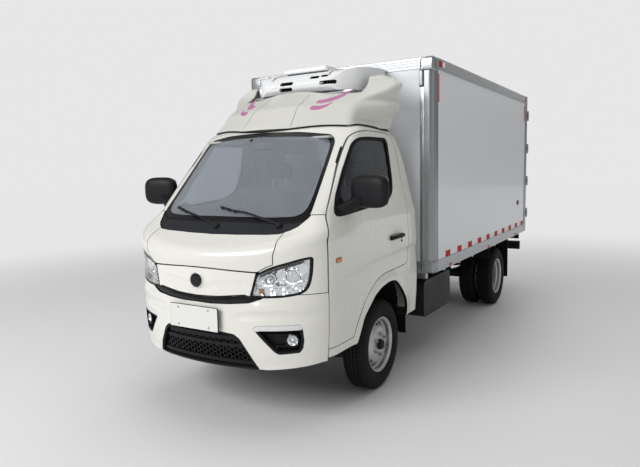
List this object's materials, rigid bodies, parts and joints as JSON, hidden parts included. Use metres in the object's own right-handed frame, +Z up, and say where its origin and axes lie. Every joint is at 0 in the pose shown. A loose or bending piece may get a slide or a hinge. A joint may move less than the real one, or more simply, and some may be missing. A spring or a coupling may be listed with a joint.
{
  "type": "light refrigerated box truck",
  "caption": "Short-nosed cab light truck with an insulated, refrigerated load box, roof air deflector and twin rear wheels.",
  "frame": {"origin": "on the ground under the centre of the whole truck", "axes": "+Y to the rear, +X to the truck's left side, +Z up"},
  "size_m": [1.968, 5.04, 2.354],
  "materials": {
    "tyre_rubber": "matt",
    "wheel_steel": "silver paint",
    "cab_paint": "gloss",
    "white_plastic": "gloss",
    "tinted_glass": "gloss",
    "lamp_lens": "gloss",
    "tail_lens": "gloss",
    "black_plastic": "grained",
    "seat_cloth": "woven",
    "box_panel": "gel coat",
    "aluminium": "extruded",
    "cast_metal": "rough",
    "floor_mat": "ribbed",
    "chassis_paint": "satin"
  },
  "bodies": {
    "truck": {"chassis_rails": "chassis_paint", "crossmembers": "chassis_paint", "engine": "cast_metal", "driveshaft": "cast_metal", "front_suspension": "chassis_paint", "rear_axle": "chassis_paint", "leaf_springs": "chassis_paint", "fuel_tank": "black_plastic", "exhaust": "cast_metal", "spare_wheel": "tyre_rubber", "mud_flaps": "black_plastic", "wheel_housings": "black_plastic", "rear_bumper": "chassis_paint", "tail_lights": "tail_lens", "cab_floor": "floor_mat", "cab_back": "cab_paint", "cab_roof": "cab_paint", "cab_sides": "cab_paint", "cab_front": "cab_paint", "front_panel": "cab_paint", "grille": "black_plastic", "front_bumper": "cab_paint", "headlights": "lamp_lens", "windscreen": "tinted_glass", "back_window": "tinted_glass", "dashboard": "black_plastic", "seats": "seat_cloth", "roof_fairing": "white_plastic", "refrigeration_unit": "white_plastic", "box_floor": "chassis_paint", "box_front_wall": "box_panel", "box_side_walls": "box_panel", "box_roof": "box_panel", "box_edge_rails": "aluminium", "rear_frame": "aluminium", "evaporator": "aluminium"},
    "knuckle_left": {"knuckle_left": "cast_metal"},
    "knuckle_right": {"knuckle_right": "cast_metal"},
    "wheel_front_left": {"tyre_front_left": "tyre_rubber", "rim_front_left": "wheel_steel"},
    "wheel_front_right": {"tyre_front_right": "tyre_rubber", "rim_front_right": "wheel_steel"},
    "wheel_rear_left": {"tyre_rear_left": "tyre_rubber", "rim_rear_left": "wheel_steel"},
    "wheel_rear_right": {"tyre_rear_right": "tyre_rubber", "rim_rear_right": "wheel_steel"},
    "steering_wheel": {"steering_wheel": "black_plastic"},
    "bonnet": {"bonnet": "cab_paint"},
    "door_left": {"door_left": "cab_paint", "door_glass_left": "tinted_glass", "mirror_left": "black_plastic"},
    "door_right": {"door_right": "cab_paint", "door_glass_right": "tinted_glass", "mirror_right": "black_plastic"},
    "rear_door_left": {"rear_door_left": "box_panel"},
    "rear_door_right": {"rear_door_right": "box_panel"}
  },
  "joints": [
    {"name": "steer_left", "type": "hinge", "parent": "truck", "child": "knuckle_left", "pos_m": [0.5325, -1.485, 0.311], "axis": [0, 0, 1], "range_deg": [-34, 34]},
    {"name": "steer_right", "type": "hinge", "parent": "truck", "child": "knuckle_right", "pos_m": [-0.5325, -1.485, 0.311], "axis": [0, 0, 1], "range_deg": [-34, 34]},
    {"name": "steering_wheel_turn", "type": "hinge", "parent": "truck", "child": "steering_wheel", "pos_m": [0.36, -1.915, 1.105], "axis": [0, 0.5299, 0.848], "range_deg": [-540, 540]},
    {"name": "wheel_front_left_spin", "type": "hinge", "parent": "knuckle_left", "child": "wheel_front_left", "pos_m": [0.655, -1.485, 0.311], "axis": [1, 0, 0], "continuous": true},
    {"name": "wheel_front_right_spin", "type": "hinge", "parent": "knuckle_right", "child": "wheel_front_right", "pos_m": [-0.655, -1.485, 0.311], "axis": [1, 0, 0], "continuous": true},
    {"name": "wheel_rear_left_spin", "type": "hinge", "parent": "truck", "child": "wheel_rear_left", "pos_m": [0.629, 1.365, 0.311], "axis": [1, 0, 0], "continuous": true},
    {"name": "wheel_rear_right_spin", "type": "hinge", "parent": "truck", "child": "wheel_rear_right", "pos_m": [-0.629, 1.365, 0.311], "axis": [1, 0, 0], "continuous": true},
    {"name": "bonnet_hinge", "type": "hinge", "parent": "truck", "child": "bonnet", "pos_m": [0, -2.323, 1.148], "axis": [-1, 0, 0], "range_deg": [0, 50]},
    {"name": "door_left_hinge", "type": "hinge", "parent": "truck", "child": "door_left", "pos_m": [0.75, -2.22, 0.8], "axis": [0, 0, -1], "range_deg": [0, 68]},
    {"name": "door_right_hinge", "type": "hinge", "parent": "truck", "child": "door_right", "pos_m": [-0.75, -2.22, 0.8], "axis": [0, 0, 1], "range_deg": [0, 68]},
    {"name": "rear_door_left_hinge", "type": "hinge", "parent": "truck", "child": "rear_door_left", "pos_m": [0.866, 2.508, 1.5], "axis": [0, 0, -1], "range_deg": [0, 262]},
    {"name": "rear_door_right_hinge", "type": "hinge", "parent": "truck", "child": "rear_door_right", "pos_m": [-0.866, 2.508, 1.5], "axis": [0, 0, 1], "range_deg": [0, 262]}
  ],
  "couplings": [
    {"joint": "steer_right", "follows": "steer_left", "ratio": 1},
    {"joint": "steering_wheel_turn", "follows": "steer_left", "ratio": 15}
  ]
}
